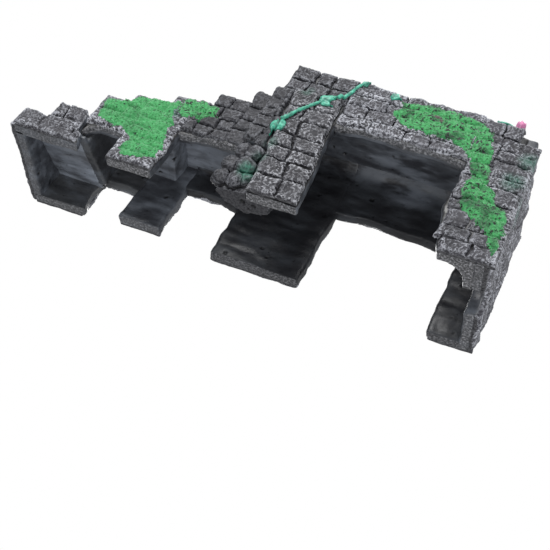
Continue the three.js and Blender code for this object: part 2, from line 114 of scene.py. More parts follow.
def makeWorld():
    world = bpy.data.worlds.new("studio")
    bpy.context.scene.world = world
    world.use_nodes = True
    nodes = world.node_tree.nodes
    links = world.node_tree.links
    nodes.clear()
    seen = nodes.new("ShaderNodeBackground")
    seen.inputs["Color"].default_value = (1, 1, 1, 1)
    seen.inputs["Strength"].default_value = sky["seen"]
    lit = nodes.new("ShaderNodeBackground")
    lit.inputs["Color"].default_value = sky["tint"]
    lit.inputs["Strength"].default_value = sky["lit"]
    path = nodes.new("ShaderNodeLightPath")
    mix = nodes.new("ShaderNodeMixShader")
    out = nodes.new("ShaderNodeOutputWorld")
    links.new(path.outputs["Is Camera Ray"], mix.inputs[0])
    links.new(lit.outputs[0], mix.inputs[1])
    links.new(seen.outputs[0], mix.inputs[2])
    links.new(mix.outputs[0], out.inputs[0])


# sizes in metres, except the drop in millimetres; the paper thins out between the last two distances
paperLook = {"half": 4, "drop": 0.3, "grey": 0.82, "fadeFrom": 0.17, "fadeTo": 0.42}


def makeFloor():
    # pale from above, clear from below, so the open underside can be looked at through it
    half = paperLook["half"]
    grey = paperLook["grey"]
    mesh = bpy.data.meshes.new("floor")
    corners = [(-half, -half, 0), (half, -half, 0), (half, half, 0), (-half, half, 0)]
    mesh.from_pydata(corners, [], [(0, 1, 2, 3)])
    floor = bpy.data.objects.new("floor", mesh)
    sceneCollection.objects.link(floor)
    floor.location.z = -paperLook["drop"] * mm
    material = bpy.data.materials.new("floorPaper")
    material.use_nodes = True
    nodes = material.node_tree.nodes
    links = material.node_tree.links
    paper = nodes["Principled BSDF"]
    paper.inputs["Base Color"].default_value = (grey, grey, grey, 1)
    paper.inputs["Roughness"].default_value = 0.9
    clear = nodes.new("ShaderNodeBsdfTransparent")
    side = nodes.new("ShaderNodeNewGeometry")
    place = nodes.new("ShaderNodeTexCoord")
    span = nodes.new("ShaderNodeVectorMath")
    span.operation = "LENGTH"
    links.new(place.outputs["Object"], span.inputs[0])
    fade = nodes.new("ShaderNodeMapRange")
    fade.interpolation_type = "SMOOTHSTEP"
    fade.inputs["From Min"].default_value = paperLook["fadeFrom"]
    fade.inputs["From Max"].default_value = paperLook["fadeTo"]
    links.new(span.outputs["Value"], fade.inputs["Value"])
    either = nodes.new("ShaderNodeMath")
    either.operation = "MAXIMUM"
    links.new(side.outputs["Backfacing"], either.inputs[0])
    links.new(fade.outputs["Result"], either.inputs[1])
    mix = nodes.new("ShaderNodeMixShader")
    links.new(either.outputs[0], mix.inputs[0])
    links.new(paper.outputs[0], mix.inputs[1])
    links.new(clear.outputs[0], mix.inputs[2])
    links.new(mix.outputs[0], nodes["Material Output"].inputs["Surface"])
    mesh.materials.append(material)
    floor.visible_diffuse = False
    floor.visible_glossy = False
    floor.visible_shadow = False
    floor.visible_transmission = False


makeCamera(camera)
makeWorld()
makeLights()
makeFloor()
bpy.context.scene.view_settings.view_transform = "Standard"
report("camera, light and floor")


# finishes: small helpers first, then one function per kind of surface

def newMaterial(name):
    material = bpy.data.materials.new(name)
    material.use_nodes = True
    return material, material.node_tree.nodes, material.node_tree.links


def spotted(nodes, links, source, scale, detail=3.0, rough=0.55):
    # a noise field with the given number of millimetres between its blotches
    field = nodes.new("ShaderNodeTexNoise")
    field.inputs["Scale"].default_value = 1000 / scale
    field.inputs["Detail"].default_value = detail
    field.inputs["Roughness"].default_value = rough
    links.new(source, field.inputs["Vector"])
    return field.outputs["Fac"]


def ramp(nodes, links, source, stops):
    band = nodes.new("ShaderNodeValToRGB")
    while len(band.color_ramp.elements) < len(stops):
        band.color_ramp.elements.new(0.5)
    for element, (place, colour) in zip(band.color_ramp.elements, stops):
        element.position = place
        element.color = (*colour, 1)
    links.new(source, band.inputs["Fac"])
    return band.outputs["Color"]


def blended(nodes, links, factor, first, second):
    mix = nodes.new("ShaderNodeMix")
    mix.data_type = "RGBA"
    links.new(factor, mix.inputs["Factor"])
    for value, socket in ((first, mix.inputs["A"]), (second, mix.inputs["B"])):
        if isinstance(value, tuple):
            socket.default_value = (*value, 1)
        else:
            links.new(value, socket)
    return mix.outputs["Result"]


def combined(nodes, links, operation, first, second):
    node = nodes.new("ShaderNodeMath")
    node.operation = operation
    for value, socket in ((first, node.inputs[0]), (second, node.inputs[1])):
        if isinstance(value, (int, float)):
            socket.default_value = value
        else:
            links.new(value, socket)
    return node.outputs[0]


def graded(nodes, links, source, low, high, bottom=0.0, top=1.0):
    node = nodes.new("ShaderNodeMapRange")
    node.interpolation_type = "SMOOTHSTEP"
    links.new(source, node.inputs["Value"])
    node.inputs["From Min"].default_value = low
    node.inputs["From Max"].default_value = high
    node.inputs["To Min"].default_value = bottom
    node.inputs["To Max"].default_value = top
    return node.outputs["Result"]


def painted(nodes, name):
    layer = nodes.new("ShaderNodeAttribute")
    layer.attribute_name = name
    return layer.outputs["Fac"]


def bumped(nodes, links, height, strength, distance, shader):
    bump = nodes.new("ShaderNodeBump")
    bump.inputs["Strength"].default_value = strength
    bump.inputs["Distance"].default_value = distance * mm
    links.new(height, bump.inputs["Height"])
    links.new(bump.outputs["Normal"], shader.inputs["Normal"])


stoneLook = {
    "deep": (0.010, 0.010, 0.013),
    "body": (0.024, 0.023, 0.029),
    "pale": (0.050, 0.049, 0.058),
    "gap": (0.003, 0.003, 0.004),
    "brush": (0.41, 0.42, 0.46),
    "rim": (0.075, 0.075, 0.08),
    "wash": (0.012, 0.12, 0.075),
}


def veined(nodes, links, source, scale, width):
    # thin wandering lines, bright along the middle level of a noise field
    field = spotted(nodes, links, source, scale, 3, 0.6)
    away = combined(nodes, links, "ABSOLUTE", combined(nodes, links, "SUBTRACT", field, 0.5), 0)
    return graded(nodes, links, away, width * 0.25, width, 1.0, 0.0)


def makeStone(name, look, amount=1.0):
    material, nodes, links = newMaterial(name)
    shader = nodes["Principled BSDF"]
    place = nodes.new("ShaderNodeTexCoord").outputs["Object"]
    broad = spotted(nodes, links, place, 16)
    grain = spotted(nodes, links, place, 1.5, 4, 0.7)
    base = ramp(nodes, links, broad, [(0.32, look["deep"]), (0.5, look["body"]), (0.7, look["pale"])])
    # pale paint dragged over the high spots, broken up into fine crooked lines
    lines = combined(nodes, links, "MAXIMUM", veined(nodes, links, place, 3.0, 0.045),
                     veined(nodes, links, place, 1.7, 0.07))
    high = combined(nodes, links, "MULTIPLY", painted(nodes, "wearAndCreaseShade"), 1.15)
    high = combined(nodes, links, "ADD", high, combined(nodes, links, "MULTIPLY", grain, 0.5))
    high = combined(nodes, links, "ADD", high, combined(nodes, links, "MULTIPLY", lines, 0.5))
    brush = graded(nodes, links, high, 0.94, 1.62)
    patch = graded(nodes, links, spotted(nodes, links, place, 10, 2), 0.3, 0.66, 0.35 * amount, amount)
    brush = combined(nodes, links, "MULTIPLY", brush, patch)
    tone = painted(nodes, "tone")
    brush = combined(nodes, links, "MULTIPLY", brush, graded(nodes, links, tone, 0, 1, 0.5, 1.15))
    dull = graded(nodes, links, tone, 0.0, 0.8, 0.6, 0.0)
    base = blended(nodes, links, dull, base, look["deep"])
    colour = blended(nodes, links, brush, base, look["brush"])
    colour = blended(nodes, links, painted(nodes, "wash"), colour, look["wash"])
    colour = blended(nodes, links, painted(nodes, "gap"), colour, look["gap"])
    rim = blended(nodes, links, graded(nodes, links, grain, 0.36, 0.62), look["deep"], look["rim"])
    rim = blended(nodes, links, painted(nodes, "gap"), rim, look["gap"])
    colour = blended(nodes, links, painted(nodes, "cut"), colour, rim)
    links.new(colour, shader.inputs["Base Color"])
    links.new(graded(nodes, links, brush, 0, 1, 0.6, 0.9), shader.inputs["Roughness"])
    shader.inputs["Specular IOR Level"].default_value = 0.32
    bumped(nodes, links, grain, 0.8, 0.5, shader)
    return material


resinLook = {
    "dark": (0.022, 0.023, 0.028),
    "sheen": (0.049, 0.054, 0.064),
    "paintedLight": (0.108, 0.120, 0.142),
    "pitsAndShade": (0.003, 0.003, 0.004),
    "rim": (0.085, 0.085, 0.09),
    "chalk": (0.30, 0.30, 0.32),
}


def makeResin(name, look, paintedLight=1.0, shine=0.5):
    material, nodes, links = newMaterial(name)
    shader = nodes["Principled BSDF"]
    place = nodes.new("ShaderNodeTexCoord").outputs["Object"]
    stretch = nodes.new("ShaderNodeMapping")
    stretch.inputs["Scale"].default_value = (0.35, 1.0, 0.8)
    stretch.inputs["Rotation"].default_value = (0.1, 0.25, 0.5)
    links.new(place, stretch.inputs["Vector"])
    flow = spotted(nodes, links, stretch.outputs["Vector"], 7, 4, 0.6)
    broad = spotted(nodes, links, place, 22, 2)
    mixed = combined(nodes, links, "ADD", flow, combined(nodes, links, "MULTIPLY", broad, 0.6))
    # the ramp runs from the dark resin through a painted sheen to painted light, scaled for this copy
    paintedLightTop = tuple(c * paintedLight for c in look["paintedLight"])
    colour = ramp(nodes, links, graded(nodes, links, mixed, 0.45, 1.15),
                  [(0.1, look["dark"]), (0.5, look["sheen"]), (0.9, paintedLightTop)])
    pin = nodes.new("ShaderNodeTexVoronoi")
    pin.inputs["Scale"].default_value = 1000 / 4.2
    links.new(place, pin.inputs["Vector"])
    hole = graded(nodes, links, pin.outputs["Distance"], 0.07, 0.11, 1.0, 0.0)
    colour = blended(nodes, links, hole, colour, look["pitsAndShade"])
    # bubble pits, and painted shade on the shell faces behind the stones, both in the pit colour
    colour = blended(nodes, links, painted(nodes, "pitsAndShade"), colour, look["pitsAndShade"])
    # painted light laid along the streaks where the lit mask says
    streaks = graded(nodes, links, flow, 0.35, 0.6)
    paintedLightPatch = combined(nodes, links, "MULTIPLY", painted(nodes, "lit"), streaks)
    colour = blended(nodes, links, paintedLightPatch, colour, look["paintedLight"])
    speckle = spotted(nodes, links, place, 1.3, 4, 0.75)
    rim = blended(nodes, links, graded(nodes, links, speckle, 0.34, 0.56), look["pitsAndShade"], look["rim"])
    rim = blended(nodes, links, graded(nodes, links, speckle, 0.51, 0.61, 0, 0.8), rim, look["chalk"])
    colour = blended(nodes, links, painted(nodes, "cut"), colour, rim)
    links.new(colour, shader.inputs["Base Color"])
    gloss = graded(nodes, links, flow, 0.3, 0.7, 0.34, 0.55)
    links.new(gloss, shader.inputs["Roughness"])
    shader.inputs["Specular IOR Level"].default_value = shine
    relief = combined(nodes, links, "SUBTRACT", flow, combined(nodes, links, "MULTIPLY", hole, 0.6))
    bumped(nodes, links, relief, 0.5, 0.8, shader)
    return material


mossLook = {
    "bright": (0.025, 0.205, 0.056),
    "light": (0.055, 0.29, 0.098),
    "deep": (0.006, 0.060, 0.018),
    "speck": (0.003, 0.010, 0.006),
    "bare": (0.045, 0.036, 0.030),
}


def makeMoss(name, look, mottle, specks):
    material, nodes, links = newMaterial(name)
    shader = nodes["Principled BSDF"]
    place = nodes.new("ShaderNodeTexCoord").outputs["Object"]
    broad = spotted(nodes, links, place, 11, 3)
    grain = spotted(nodes, links, place, 1.3, 2, 0.6)
    base = ramp(nodes, links, grain, [(0.24, look["deep"]), (0.40, look["bright"]), (0.68, look["light"])])
    shade = graded(nodes, links, broad, 0.34, 0.50, mottle, 0.0)
    base = blended(nodes, links, shade, base, look["deep"])
    speck = graded(nodes, links, spotted(nodes, links, place, 1.9, 3, 0.6), specks, specks + 0.06)
    colour = blended(nodes, links, speck, base, look["speck"])
    thin = combined(nodes, links, "MULTIPLY", grain, 0.8)
    thin = combined(nodes, links, "ADD", painted(nodes, "thin"), thin)
    colour = blended(nodes, links, graded(nodes, links, thin, 1.0, 1.25), colour, look["bare"])
    links.new(colour, shader.inputs["Base Color"])
    shader.inputs["Roughness"].default_value = 1.0
    shader.inputs["Specular IOR Level"].default_value = 0.15
    shader.inputs["Sheen Weight"].default_value = 0.25
    shader.inputs["Sheen Roughness"].default_value = 0.6
    bumped(nodes, links, grain, 0.9, 0.6, shader)
    return material


def makePaint(name, light, dark, roughness):
    material, nodes, links = newMaterial(name)
    shader = nodes["Principled BSDF"]
    place = nodes.new("ShaderNodeTexCoord").outputs["Object"]
    mottle = spotted(nodes, links, place, 3, 3)
    base = ramp(nodes, links, mottle, [(0.34, dark), (0.62, light)])
    # painted shade: creases and hollows of the vine, leaves and petals darken towards the dark colour
    creaseShade = graded(nodes, links, painted(nodes, "wearAndCreaseShade"), 0.25, 0.55, 0.85, 0.0)
    links.new(blended(nodes, links, creaseShade, base, dark), shader.inputs["Base Color"])
    shader.inputs["Roughness"].default_value = roughness
    bumped(nodes, links, spotted(nodes, links, place, 0.8), 0.35, 0.3, shader)
    return material


finishes = {
    "stone": makeStone("castStone", stoneLook),
    "stoneBright": makeStone("castStoneWorn", {**stoneLook, "pale": (0.075, 0.074, 0.085)}, 1.35),
    "stoneMid": makeStone("castStoneVeined", {**stoneLook, "brush": (0.54, 0.55, 0.59)}, 1.3),
    "stoneDark": makeStone("castStoneShaded", {**stoneLook, "body": (0.015, 0.015, 0.019),
                                               "pale": (0.019, 0.019, 0.023),
                                               "rim": (0.050, 0.050, 0.055)}, 0.30),
    # the same resin in lit and shaded copies: the pale one is painted light for the deck undersides, the
    # grey and black ones are painted shade over the dark resin
    "resin": makeResin("castResin", resinLook),
    "resinPaleLit": makeResin("castResinPaleLit", {**resinLook, "dark": (0.050, 0.053, 0.061),
                                              "sheen": (0.116, 0.128, 0.150)}, 1.8),
    "resinGreyShaded": makeResin("castResinGreyShaded", {**resinLook, "dark": (0.024, 0.025, 0.028),
                                             "sheen": (0.036, 0.038, 0.042)}, 0.6),
    "resinBlackShaded": makeResin("castResinBlackShaded", {**resinLook, "dark": (0.010, 0.010, 0.012),
                                              "sheen": (0.017, 0.018, 0.021)}, 0.26, 0.28),
    "moss": makeMoss("flockMoss", mossLook, 0.3, 0.62),
    "mossWorn": makeMoss("flockMossWorn", mossLook, 0.8, 0.545),
    "vine": makePaint("vinePaint", (0.055, 0.36, 0.24), (0.012, 0.12, 0.085), 0.42),
    "petal": makePaint("petalPaint", (0.52, 0.17, 0.32), (0.20, 0.05, 0.13), 0.55),
}
report("finishes")


# shaping tools, which all work in millimetres

def verticesOf(obj):
    co = np.empty(len(obj.data.vertices) * 3, np.float32)
    obj.data.vertices.foreach_get("co", co)
    return co.reshape(-1, 3).astype(float) / mm


def normalsOf(obj):
    n = np.empty(len(obj.data.vertices) * 3, np.float32)
    obj.data.vertex_normals.foreach_get("vector", n)
    return n.reshape(-1, 3).astype(float)


def setVertices(obj, co):
    obj.data.vertices.foreach_set("co", (co * mm).astype(np.float32).ravel())
    obj.data.update()


def edgesOf(obj):
    pairs = np.empty(len(obj.data.edges) * 2, np.int32)
    obj.data.edges.foreach_get("vertices", pairs)
    return pairs.reshape(-1, 2)


def relaxed(co, pairs, steps):
    # every vertex drifts towards the middle of its neighbours
    count = len(co)
    a, b = pairs[:, 0], pairs[:, 1]
    near = np.maximum(np.bincount(a, minlength=count) + np.bincount(b, minlength=count), 1)
    for _ in range(steps):
        total = np.stack([
            np.bincount(a, co[b, k], count) + np.bincount(b, co[a, k], count) for k in range(3)
        ], 1)
        co = 0.5 * co + 0.5 * total / near[:, None]
    return co


def paint(obj, name, values):
    layer = obj.data.attributes.new(name, "FLOAT", "POINT")
    layer.data.foreach_set("value", np.clip(values, 0, 1).astype(np.float32))


def smoothStep(value, low, high):
    t = np.clip((value - low) / (high - low), 0, 1)
    return t * t * (3 - 2 * t)


def applied(obj):
    # the mesh that the modifiers make becomes the object's own
    graph = bpy.context.evaluated_depsgraph_get()
    made = bpy.data.meshes.new_from_object(obj.evaluated_get(graph))
    obj.modifiers.clear()
    old = obj.data
    obj.data = made
    bpy.data.meshes.remove(old)
    return obj


def copyOf(node, voxel):
    # a fresh evenly meshed solid in the shape of one frame piece
    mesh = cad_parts[node].data.copy()
    mesh.materials.clear()
    form = bmesh.new()
    form.from_mesh(mesh)
    bmesh.ops.remove_doubles(form, verts=form.verts, dist=0.002 * mm)
    form.to_mesh(mesh)
    form.free()
    obj = bpy.data.objects.new(node + "_cast", mesh)
    sceneCollection.objects.link(obj)
    mod = obj.modifiers.new("even", "REMESH")
    mod.mode = "VOXEL"
    mod.voxel_size = voxel * mm
    return applied(obj)


def settle(obj, node, finish):
    obj.data.materials.clear()
    obj.data.materials.append(finishes[finish])
    obj.data.polygons.foreach_set("use_smooth", [True] * len(obj.data.polygons))
    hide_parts(node)
    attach(obj, "root")


# reach and strength of the wobble, in millimetres
handmade = {"slow": 24.0, "slowBy": 0.9, "quick": 8.5, "quickBy": 0.32}


def wander(co):
    # the whole model leans and ripples a little, the same way for pieces that touch
    look = handmade
    shift = np.array([
        tuple(noise.noise_vector(Vector(p) / look["slow"]) * look["slowBy"]
              + noise.noise_vector(Vector(p) / look["quick"]) * look["quickBy"])
        for p in co
    ])
    shift[:, 2] *= smoothStep(co[:, 2], 0.3, 5)
    return shift


# stone relief

relief = {
    "facet": 4.6, "facetBy": 0.8,
    "lump": 8.0, "lumpBy": 0.55,
    "worm": 2.1, "wormBy": 0.30,
    "grit": 0.9, "gritBy": 0.12,
    "grow": 0.22,
}
washSpots = [
    # place in millimetres in the frame, reach, strength
    ((3.0, -36, 12.0), 8, 0.9),
    ((5.0, -36, 24.0), 6, 0.6),
    ((6.0, -36, 36.0), 6, 0.45),
    ((-60.0, -30, 46.0), 9, 0.5),
    ((-88.0, -30, 36.0), 8, 0.45),
    ((134.0, -34, 60.0), 9, 0.55),
    ((139.0, -30, 78.0), 10, 0.6),
    ((140.0, -24, 50.0), 9, 0.4),
    ((8.0, -38, 84.0), 6, 0.4),
]


def stoneRelief(co, look, scale):
    ridge = [noise.ridged_multi_fractal(Vector(p) / look["facet"], 0.9, 2.1, 3, 1.0, 2.0) for p in co]
    ridge = np.clip(np.array(ridge) / 2.6, 0, 1)
    lump = np.array([noise.noise(Vector(p) / look["lump"]) for p in co])
    worm = 1 - 2.2 * np.abs(np.array([noise.noise(Vector(p) / look["worm"]) for p in co]))
    grit = np.array([noise.noise(Vector(p) / look["grit"]) for p in co])
    height = (ridge - 0.45) * look["facetBy"] + lump * look["lumpBy"]
    height += (worm - 0.4) * look["wormBy"] + grit * look["gritBy"]
    return height * scale + look["grow"], ridge, np.clip(worm, 0, 1)


def blocksOf(pairs, gap, rng):
    # vertices that joints don't part belong to one block; each block gets a number between 0 and 1
    label = np.arange(len(gap))
    whole = (gap[pairs[:, 0]] < 0.35) & (gap[pairs[:, 1]] < 0.35)
    a, b = pairs[whole, 0], pairs[whole, 1]
    while True:
        low = np.minimum(label[a], label[b])
        fresh = label.copy()
        np.minimum.at(fresh, a, low)
        np.minimum.at(fresh, b, low)
        fresh = fresh[fresh]
        if np.array_equal(fresh, label):
            break
        label = fresh
    names, which = np.unique(label, return_inverse=True)
    return np.array([rng.random() for _ in names])[which]


crook = {"reach": 9.0, "by": 1.1, "outBy": 0.35, "shift": Vector((9, 4, 2))}
joints = {"soften": 9, "from": 0.06, "full": 0.5, "sink": 0.6, "keep": 0.45, "uneven": 0.9}
wearShare = {"ridge": 0.28, "worm": 0.22, "proud": 0.34, "level": 0.16}


def carveStone(node, voxel, rounding=4, finish="stone", scale=1.0):
    obj = copyOf(node, voxel)
    co = verticesOf(obj)
    pairs = edgesOf(obj)
    base = smoothStep(co[:, 2], 0.45, 4)
    flat = co[:, 2] < 0.75
    co = relaxed(co, pairs, rounding)
    setVertices(obj, co)
    out = normalsOf(obj)
    # the joints between blocks lie below a much softer copy of the same face
    steps = int(joints["soften"] / voxel ** 2)
    level = np.einsum("ij,ij->i", co - relaxed(co, pairs, steps), out)
    gap = smoothStep(-level, joints["from"], joints["full"])
    tone = relaxed(np.repeat(blocksOf(pairs, gap, random.Random(node))[:, None], 3, 1), pairs, 4)[:, 0]
    height, ridge, worm = stoneRelief(co, relief, scale)
    sink = joints["sink"]
    height = height * (1 - sink * gap) - sink * gap + joints["keep"] * np.clip(level, -1, 1)
    height += joints["uneven"] * (tone - 0.5) * (1 - gap) * scale
    out[:, 2] *= base
    co[:, 2] -= 0.4 * (1 - base)
    bend = np.array([tuple(noise.noise_vector(Vector(p) / crook["reach"] + crook["shift"])) for p in co])
    bend *= crook["by"] * scale
    bend[:, 1] *= crook["outBy"]
    bend[:, 2] *= base
    shaped = co + out * height[:, None] + wander(co) + bend
    shaped[flat, 2] = 0.05
    shaped[:, 2] = np.maximum(shaped[:, 2], 0)
    setVertices(obj, shaped)
    proud = np.einsum("ij,ij->i", shaped - relaxed(shaped, pairs, 7), normalsOf(obj))
    share = wearShare
    wearAndCreaseShade = share["ridge"] * ridge + share["worm"] * worm + share["proud"] * smoothStep(proud, -0.16, 0.26)
    wearAndCreaseShade += share["level"] * smoothStep(level, -0.1, 0.5)
    paint(obj, "wearAndCreaseShade", wearAndCreaseShade)
    paint(obj, "gap", gap)
    paint(obj, "tone", tone)
    wash = np.zeros(len(co))
    for place, reach, strength in washSpots:
        away = np.linalg.norm((co - np.array(place)) * (1, 0.7, 1), axis=1)
        near = 1 - smoothStep(away, 0.2 * reach, reach)
        wash = np.maximum(wash, strength * near * (0.35 + 0.65 * worm))
    paint(obj, "wash", wash)
    paint(obj, "cut", flat & (normalsOf(obj)[:, 2] < -0.3))
    settle(obj, node, finish)
    return obj


frontStones = [
    "stones_left_front", "stones_step_1", "stones_pier_a", "stones_step_2", "stones_pier_b",
    "stones_tower_front", "stones_tower_top", "stones_lintel_3", "stones_pier_c",
]
endStones = ["stones_left_end", "stones_tower_left", "stones_right_end"]
backStones = [
    "stones_back_left", "stones_back_step_1", "stones_back_pier_2", "stones_back_step_2",
    "stones_back_pier_3", "stones_back_lintel_3", "stones_back_buttress",
]
paving = ["paving_low", "paving_mid", "paving_tall"]

# smoothing steps for fields of small worn stones, then the fields that don't have the common shade
cobbles = {"stones_step_2": 7, "stones_tower_front": 6, "stones_step_1": 4}
shades = {
    "stones_left_front": "stoneBright", "stones_step_1": "stoneBright", "stones_step_2": "stoneDark",
    "stones_tower_front": "stoneDark", "stones_pier_b": "stoneMid",
}
stonePieces = {}
for node in frontStones:
    stonePieces[node] = carveStone(node, 0.45, cobbles.get(node, 3), shades.get(node, "stone"))
for node in endStones:
    stonePieces[node] = carveStone(node, 0.6)
for node in backStones:
    stonePieces[node] = carveStone(node, 0.65)
for node in paving:
    stonePieces[node] = carveStone(node, 0.65, scale=0.5)
stonePieces["rubble_jamb"] = carveStone("rubble_jamb", 0.5, 4, "stoneDark", 1.25)


def drillFoot(obj, holes):
    # air bubbles that the cut across the foot has opened
    co = verticesOf(obj)
    gap = np.zeros(len(co))
    for x, y, size in holes:
        away = np.hypot(co[:, 0] - x, co[:, 1] - y)
        inHole = (away < size) & (co[:, 2] < 0.8)
        co[:, 2] += np.where(inHole, np.sqrt(np.maximum(size ** 2 - away ** 2, 0)), 0)
        gap = np.maximum(gap, 1 - smoothStep(away, 0.75 * size, 1.15 * size))
    setVertices(obj, co)
    old = np.empty(len(co), np.float32)
    obj.data.attributes["gap"].data.foreach_get("value", old)
    marked = np.where(co[:, 2] < 3, np.maximum(old, gap), old)
    obj.data.attributes["gap"].data.foreach_set("value", marked.astype(np.float32))


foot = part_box("rubble_jamb")
drillFoot(stonePieces["rubble_jamb"], [
    (foot[0][0] / mm + 21.5, foot[0][1] / mm + 12.4, 1.7),
    (foot[0][0] / mm + 28.0, foot[0][1] / mm + 13.6, 1.5),
    (foot[0][0] / mm + 25.0, foot[0][1] / mm + 16.5, 0.8),
])
report("stone relief")


# bare resin shell

resinShape = {
    "sag": 19.0, "sagBy": 0.8,
    "flow": (15.0, 5.0, 5.0), "flowBy": 0.5,
    "skin": 3.0, "skinBy": 0.12,
    "grow": 0.32,
}
bubbles = {"spacing": 7.0, "small": 0.35, "spread": 1.1, "depth": 0.9}
# how far the end of each shell piece is drawn out, and over what length
overlap = {"by": 0.75, "within": 2.0}

paintedLightSpots = [
    # patches of painted light: place in millimetres in the frame, reach along each axis, strength
    ((68.0, 8.0, 95.0), (24, 16, 12), 1.0),
    ((100.0, 14.0, 95.0), (16, 10, 12), 0.55),
    ((74.0, 28.0, 86.0), (22, 12, 13), 1.0),
    ((98.0, 30.0, 80.0), (16, 10, 10), 0.7),
    ((-118.0, -5.0, 14.0), (17, 17, 10), 0.9),
    ((-92.0, 2.0, 39.0), (14, 14, 10), 0.7),
    ((-34.0, 0.0, 54.0), (20, 15, 12), 0.9),
]

# a hollow curve where a back wall meets the deck above it: that deck, and the curve's radius
hollows = {
    "back_pier_3": ("deck_tall", 9.0), "back_lintel_3": ("deck_tall", 9.0),
    "back_lintel_1": ("deck_low", 3.0), "back_lintel_2": ("deck_mid", 4.0),
}


def filled(node, co, out):
    push = np.zeros(len(co))
    lit = np.zeros(len(co))
    if node in hollows:
        deck, bow = hollows[node]
        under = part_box(deck)[0][2] / mm
        below = np.clip(under - co[:, 2], 0, bow)
        push = bow - np.sqrt(bow ** 2 - (bow - below) ** 2)
        facing = (out[:, 1] < -0.35) & (co[:, 2] < under + 3)
        push = np.where(facing, np.minimum(push, 0.75 * bow), 0)
        # a painted highlight band on the curve just under the deck, fading downwards
        lit = np.where(facing, 0.6 * (1 - smoothStep(under - co[:, 2], 0.1 * bow, 1.6 * bow)), 0)
    return push, lit


def castResin(node, voxel, finish="resin", rim=1.0):
    obj = copyOf(node, voxel)
    co = verticesOf(obj)
    pairs = edgesOf(obj)
    flat = co[:, 2] < 0.35
    co = relaxed(co, pairs, 2)
    # run each end a little way into its neighbour, so that no slit shows where two pieces meet
    low, high = (np.array(c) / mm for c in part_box(node))
    for axis in (0, 1):
        co[:, axis] -= overlap["by"] * (1 - smoothStep(co[:, axis] - low[axis], 0, overlap["within"]))
        co[:, axis] += overlap["by"] * (1 - smoothStep(high[axis] - co[:, axis], 0, overlap["within"]))
    setVertices(obj, co)
    out = normalsOf(obj)
    push, lit = filled(node, co, out)
    # patches of painted light join the same lit mask
    for spot, reach, strength in paintedLightSpots:
        away = np.linalg.norm((co - np.array(spot)) / np.array(reach), axis=1)
        lit = np.maximum(lit, strength * (1 - smoothStep(away, 0.25, 1)))
    # painted shade: the front shell's faces that lie behind the stones and show only through gaps between
    # them are painted as dark as the pits
    shadeBehindStones = np.zeros(len(co))
    if node in frontShell:
        shadeBehindStones = smoothStep(-out[:, 1], 0.4, 0.8)
    look = resinShape
    stretch = np.array(look["flow"])
    height = np.array([
        noise.noise(Vector(p) / look["sag"]) * look["sagBy"]
        + noise.noise(Vector(p / stretch)) * look["flowBy"]
        + noise.noise(Vector(p) / look["skin"]) * look["skinBy"]
        for p in co
    ]) + look["grow"]
    pitsAndShade = np.zeros(len(co))
    for i, p in enumerate(co):
        far, places = noise.voronoi(Vector(p) / bubbles["spacing"])
        away = far[0] * bubbles["spacing"]
        # the cell's own place decides how big its bubble is
        luck = math.modf(abs(places[0].x * 17.3 + places[0].y * 7.1 + places[0].z * 3.7))[0]
        size = bubbles["small"] + bubbles["spread"] * luck ** 2
        if away < size:
            pitsAndShade[i] = 1
            height[i] -= math.sqrt(size * size - away * away) * bubbles["depth"]
    base = smoothStep(co[:, 2], 0.2, 3)
    out[:, 2] *= base
    shaped = co + out * height[:, None] + wander(co)
    shaped[:, 1] -= push
    shaped[flat, 2] = 0
    shaped[:, 2] = np.maximum(shaped[:, 2], 0)
    setVertices(obj, shaped)
    # the pit mask also carries that painted shade
    paint(obj, "pitsAndShade", np.maximum(pitsAndShade, shadeBehindStones) * (~flat))
    paint(obj, "lit", lit)
    facing = normalsOf(obj)
    cut = rim * (flat & (facing[:, 2] < -0.3))
    if node.startswith("front_lintel"):
        edge = (co[:, 1] < low[1] + 2.5) & (facing[:, 2] < -0.35)
        cut = np.maximum(cut, 0.8 * edge)
    paint(obj, "cut", cut)
    settle(obj, node, finish)
    return obj


decks = ["deck_left", "deck_low", "deck_mid", "deck_tall"]
frontShell = [
    "front_wall_left", "front_lintel_1", "front_pier_a", "front_lintel_2", "front_pier_b",
    "front_lintel_3", "front_pier_c",
]
backShell = [
    "back_wall_left", "back_lintel_1", "back_pier_2", "back_lintel_2", "back_pier_3", "back_lintel_3",
    "back_buttress",
]
innerShell = ["end_wall_left", "riser_left", "riser_mid", "tower_wall_left", "end_wall_right"]

# shell pieces that aren't of their group's common finish: the pale copy is painted light, the grey and
# black copies are painted shade
litAndShadedCopies = {
    "deck_left": "resinPaleLit", "deck_low": "resinPaleLit", "deck_mid": "resinPaleLit", "riser_mid": "resinPaleLit",
    "back_wall_left": "resinGreyShaded", "back_lintel_1": "resinGreyShaded", "riser_left": "resinGreyShaded",
    "back_pier_2": "resin", "end_wall_left": "resin", "end_wall_right": "resin",
}
# how much pale paint the cut rims carry; the other back and inner ones have 0.6
rimShare = {"front_wall_left": 0.5, "end_wall_left": 0.4, "end_wall_right": 0.8}
shellPieces = {}
for node in decks:
    shellPieces[node] = castResin(node, 0.65, litAndShadedCopies.get(node, "resin"))
for node in frontShell:
    shellPieces[node] = castResin(node, 0.8, rim=rimShare.get(node, 1.0))
# back and inner walls take the black copy, painted shade over the dark resin, unless listed
for node in backShell + innerShell:
    shellPieces[node] = castResin(node, 0.8, litAndShadedCopies.get(node, "resinBlackShaded"), rimShare.get(node, 0.6))
report("resin shell")


# flocked moss

def treeOf(objects):
    co = []
    faces = []
    for obj in objects:
        start = len(co)
        co.extend(Vector(p) for p in verticesOf(obj))
        faces.extend([start + i for i in poly.vertices] for poly in obj.data.polygons)
    return BVHTree.FromPolygons(co, faces)


